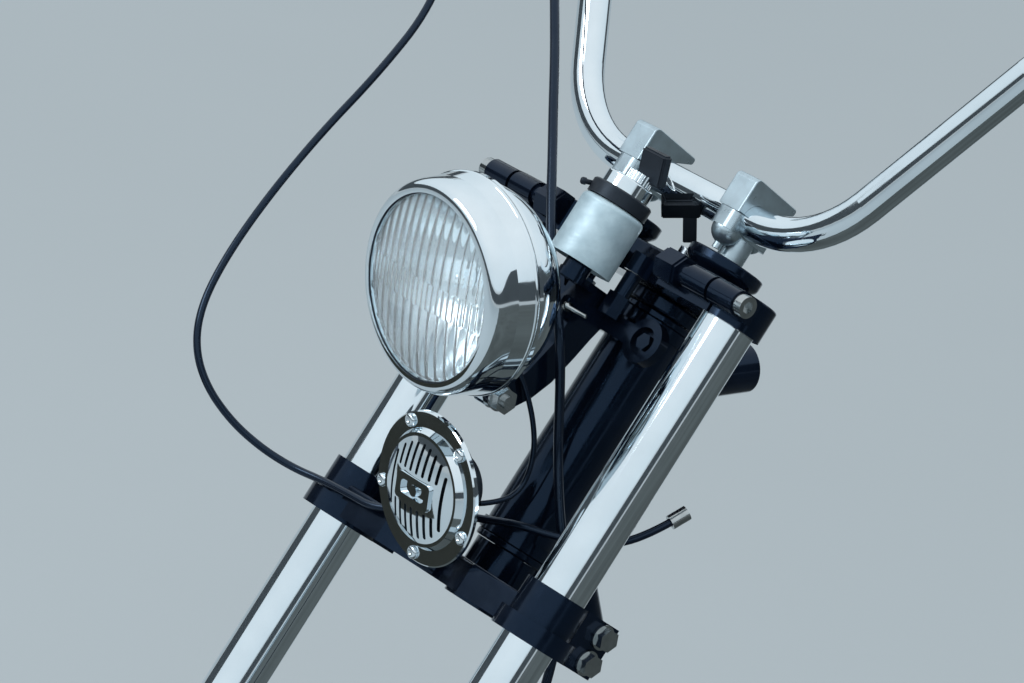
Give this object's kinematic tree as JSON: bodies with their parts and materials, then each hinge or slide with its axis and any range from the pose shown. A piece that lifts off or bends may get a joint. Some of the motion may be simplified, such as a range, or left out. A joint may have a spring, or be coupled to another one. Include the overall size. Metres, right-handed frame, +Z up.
{
  "type": "motorcycle front end",
  "caption": "Front end of a custom motorcycle: frame neck with a telescopic fork that steers in it, round headlamp, horn, ignition switch, high handlebar, controls and cables.",
  "frame": {"origin": "middle of the open end of the backbone tube's stub", "axes": "+Y along the backbone tube to the rear, +X to the rider's left, +Z up; the front faces -Y"},
  "size_m": [0.936, 0.7162, 0.9529],
  "materials": {
    "gloss_black": "gloss",
    "chrome": "polished",
    "satin_silver": "satin",
    "satin_black": "satin",
    "rubber": "matt",
    "brushed": "brushed",
    "glass": "gloss",
    "zinc": "satin",
    "hose": "satin"
  },
  "bodies": {
    "frame_neck": {"steering_head": "gloss_black", "lower_bearing": "gloss_black", "upper_bearing": "gloss_black"},
    "front_end": {"brake_caliper": "satin_black", "brake_hose": "hose", "cable_ends": "zinc", "control_cable": "hose", "control_housing_left": "satin_black", "control_housing_right": "satin_black", "dust_seals": "rubber", "fork_tube_left": "chrome", "fork_tube_right": "chrome", "grip_left": "rubber", "grip_right": "rubber", "handlebar": "chrome", "horn_body": "satin_black", "horn_bracket": "gloss_black", "horn_face": "chrome", "hose_ends": "zinc", "lamp_bolt": "zinc", "lamp_bowl": "chrome", "lamp_bracket": "gloss_black", "lamp_lens": "glass", "lamp_reflector": "chrome", "lamp_rim": "chrome", "lamp_wire": "hose", "lever_left": "chrome", "lever_perch_left": "satin_black", "lever_perch_right": "satin_black", "lever_right": "chrome", "lower_clamp": "gloss_black", "lower_pinch_bolts": "zinc", "master_cylinder": "satin_black", "riser_cap_left": "satin_silver", "riser_cap_right": "satin_silver", "riser_cups": "gloss_black", "riser_left": "satin_silver", "riser_right": "satin_silver", "slider_left": "satin_black", "slider_right": "satin_black", "stem_adjuster": "gloss_black", "stem_nut": "chrome", "switch_body": "satin_black", "switch_cap": "chrome", "switch_cover": "brushed", "upper_clamp": "gloss_black", "upper_pinch_bolts": "zinc"}
  },
  "joints": [
    {"name": "steering", "type": "hinge", "parent": "frame_neck", "child": "front_end", "pos_m": [0, -0.14744, -0.04071], "axis": [0, 0.5299, 0.848], "range_deg": [-38, 38]}
  ]
}
